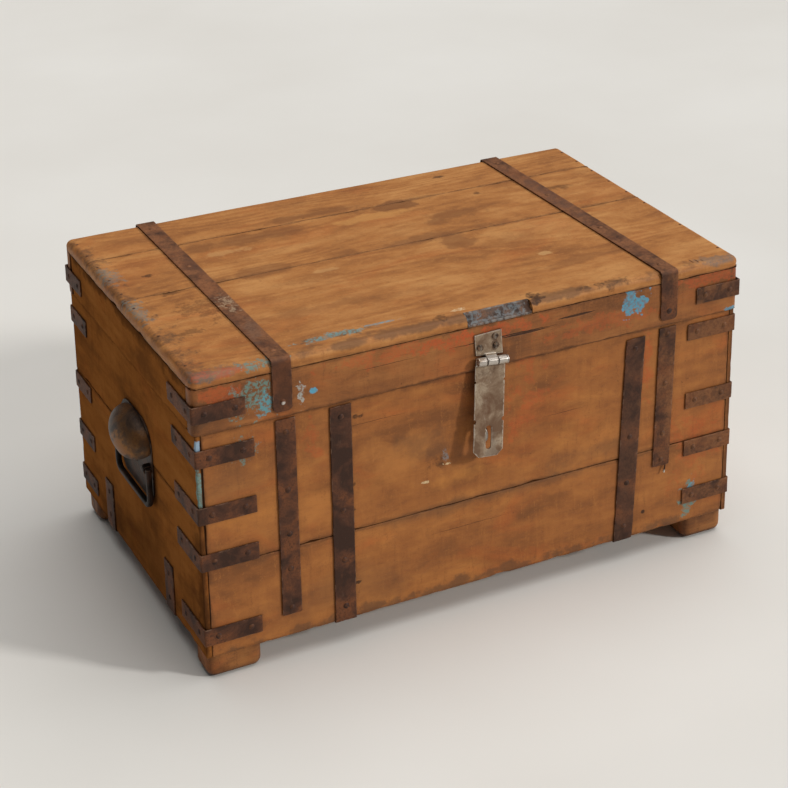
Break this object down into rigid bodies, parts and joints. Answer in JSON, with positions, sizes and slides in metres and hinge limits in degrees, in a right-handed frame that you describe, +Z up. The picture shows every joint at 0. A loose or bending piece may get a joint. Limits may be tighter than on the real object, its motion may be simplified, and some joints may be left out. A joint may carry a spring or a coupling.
{
  "type": "storage trunk",
  "caption": "Low wooden trunk on block feet, bound with nailed iron straps, with a hinged lid, a front hasp over a staple and a domed drop handle at each end.",
  "frame": {"origin": "on the floor, under the middle of the whole trunk with its hasp, hinges and handles", "axes": "+X to the right along the front, +Y from the front to the back, +Z up"},
  "size_m": [0.818, 0.5058, 0.4146],
  "materials": {
    "body_wood": "old waxed softwood, stained and scratched",
    "lid_wood": "old waxed softwood, water-stained",
    "strap_iron": "rusted wrought strip",
    "handle_iron": "rusted forged sheet and bar",
    "nail_iron": "rusted hand-made heads",
    "inlay_iron": "worn grey plate",
    "hasp_steel": "worn, with rust in the edges"
  },
  "bodies": {
    "chest": {"back_left_corner_straps": "strap_iron", "back_left_foot": "body_wood", "back_left_hinge_leaf": "strap_iron", "back_lower_board": "body_wood", "back_right_corner_straps": "strap_iron", "back_right_foot": "body_wood", "back_right_hinge_leaf": "strap_iron", "back_upper_board": "body_wood", "body_strap_nails": "nail_iron", "bottom_back_board": "body_wood", "bottom_front_board": "body_wood", "bottom_middle_board": "body_wood", "front_left_corner_straps": "strap_iron", "front_left_foot": "body_wood", "front_left_narrow_strap": "strap_iron", "front_lower_board": "body_wood", "front_right_corner_straps": "strap_iron", "front_right_foot": "body_wood", "front_right_narrow_strap": "strap_iron", "front_upper_board": "body_wood", "handle_nails": "nail_iron", "left_angle_straps": "strap_iron", "left_handle_hood": "handle_iron", "left_handle_plate": "handle_iron", "left_hinge_pin": "strap_iron", "left_lower_board": "body_wood", "left_under_strap": "strap_iron", "left_upper_board": "body_wood", "right_angle_straps": "strap_iron", "right_handle_hood": "handle_iron", "right_handle_plate": "handle_iron", "right_hinge_pin": "strap_iron", "right_lower_board": "body_wood", "right_under_strap": "strap_iron", "right_upper_board": "body_wood", "staple": "hasp_steel"},
    "lid": {"lid_back_left_corner_strap": "strap_iron", "lid_back_plank": "lid_wood", "lid_back_rail": "lid_wood", "lid_back_right_corner_strap": "strap_iron", "lid_front_left_corner_strap": "strap_iron", "lid_front_plank": "lid_wood", "lid_front_rail": "lid_wood", "lid_front_right_corner_strap": "strap_iron", "lid_left_rail": "lid_wood", "lid_left_strap": "strap_iron", "lid_middle_plank": "lid_wood", "lid_plank_nails": "nail_iron", "lid_right_rail": "lid_wood", "lid_right_strap": "strap_iron", "lid_strap_nails": "nail_iron", "old_lock_inlay": "inlay_iron", "hasp_fixed_leaf": "hasp_steel", "hasp_pin": "hasp_steel", "hasp_screws": "hasp_steel"},
    "hasp": {"hasp_leaf": "hasp_steel"},
    "left_bail": {"left_handle_bail": "handle_iron"},
    "right_bail": {"right_handle_bail": "handle_iron"}
  },
  "joints": [
    {"name": "lid_hinge", "type": "hinge", "parent": "chest", "child": "lid", "pos_m": [0, 0.24781, 0.336], "axis": [-1, 0, 0], "range_deg": [0, 105]},
    {"name": "hasp_swing", "type": "hinge", "parent": "lid", "child": "hasp", "pos_m": [0.0083, -0.24105, 0.349], "axis": [-0.9954, 0, 0.0958], "range_deg": [-6.9, 160]},
    {"name": "left_bail_swing", "type": "hinge", "parent": "chest", "child": "left_bail", "pos_m": [-0.3845, -0.01077, 0.2135], "axis": [0, 1, 0], "range_deg": [0, 130]},
    {"name": "right_bail_swing", "type": "hinge", "parent": "chest", "child": "right_bail", "pos_m": [0.3845, -0.01077, 0.2135], "axis": [0, -1, 0], "range_deg": [0, 130]}
  ]
}
